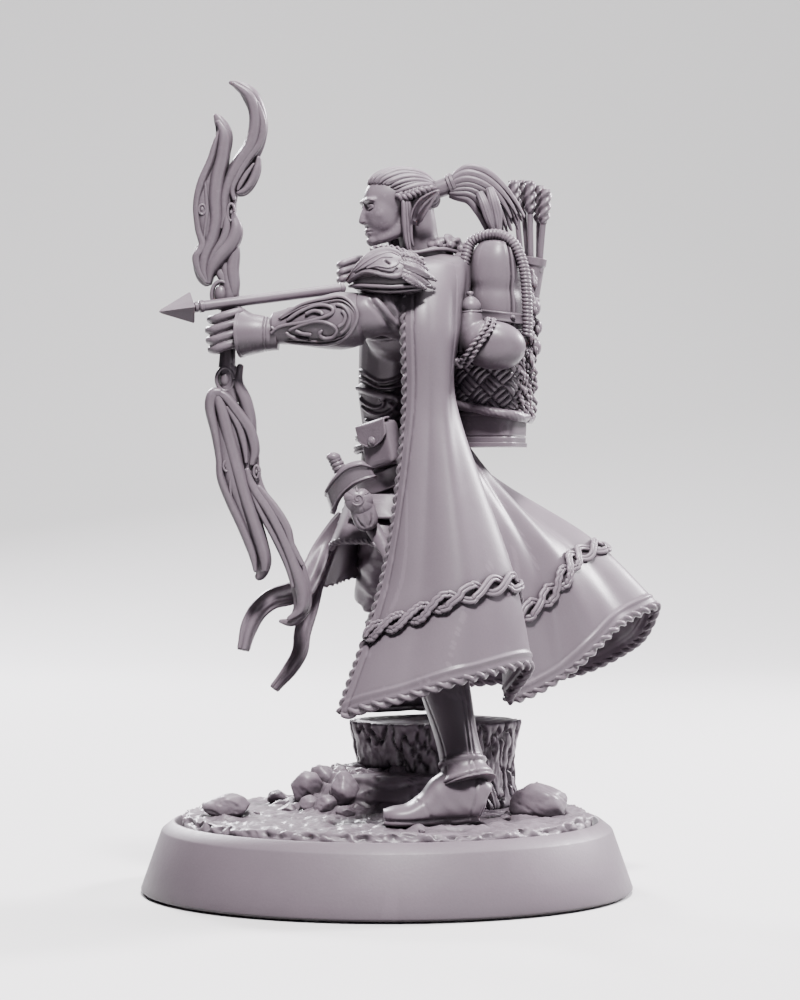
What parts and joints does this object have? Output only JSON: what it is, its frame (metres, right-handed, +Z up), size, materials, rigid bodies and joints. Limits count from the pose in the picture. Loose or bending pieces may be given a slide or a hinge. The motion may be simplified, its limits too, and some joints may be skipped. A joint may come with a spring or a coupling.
{
  "type": "tabletop archer miniature",
  "caption": "Unpainted resin archer in a long cloak and back pack, with an arrow laid on a twisted wooden bow, standing on a tree stump scene that lifts out of a round sloped-edge gaming base.",
  "frame": {"origin": "centre of the plinth's flat underside", "axes": "+Z up through the figure; the archer faces and aims along -X; the archer's left side is on -Y"},
  "size_m": [0.0264, 0.025, 0.0409],
  "materials": {
    "plinth": "satin cast resin, mauve-grey, unpainted",
    "scenery": "satin cast resin, mauve-grey, unpainted",
    "figure": "satin cast resin, mauve-grey, unpainted",
    "clothing": "satin cast resin, mauve-grey, unpainted",
    "gear": "satin cast resin, mauve-grey, unpainted"
  },
  "bodies": {
    "plinth": {"plinth": "plinth"},
    "figure": {"arrow_head": "gear", "arrow_shaft": "gear", "belt": "gear", "belt_pouch": "gear", "belt_pouch_flap": "gear", "belt_purse": "gear", "bow_lower_limb": "gear", "bow_riser": "gear", "bow_upper_limb": "gear", "cloak": "clothing", "collar": "gear", "dagger_grip": "gear", "dagger_guard": "gear", "dagger_scabbard": "gear", "far_boot_shaft": "gear", "far_boot_shoe": "gear", "far_hand": "figure", "far_leg": "clothing", "far_pauldron": "gear", "far_sleeve": "clothing", "far_vambrace": "gear", "gourd_cap": "gear", "hair_tie": "gear", "head": "figure", "near_boot_shaft": "gear", "near_boot_shoe": "gear", "near_cuff": "gear", "near_hand": "figure", "near_leg": "clothing", "near_pauldron": "gear", "near_sleeve": "clothing", "near_vambrace": "gear", "pack_bag": "gear", "pack_basket": "gear", "pack_basket_rim": "gear", "pack_button": "gear", "pack_lower_case": "gear", "pack_rope_coil": "gear", "pack_strap": "gear", "ponytail": "figure", "quiver": "gear", "quiver_arrow_1": "gear", "quiver_arrow_2": "gear", "quiver_arrow_3": "gear", "quiver_arrow_4": "gear", "quiver_arrow_5": "gear", "rock_back": "scenery", "rock_bank_left": "scenery", "rock_bank_right": "scenery", "rock_front": "scenery", "rock_pebble": "scenery", "sash_tail_lower": "clothing", "sash_tail_upper": "clothing", "scenic_disc": "scenery", "torso": "figure", "tree_stump": "scenery", "tunic_skirt": "clothing", "water_gourd": "gear"}
  },
  "joints": [
    {"name": "insert_lift", "type": "slide", "parent": "plinth", "child": "figure", "axis": [0, 0, 1], "range_m": [0, 0.008]}
  ]
}
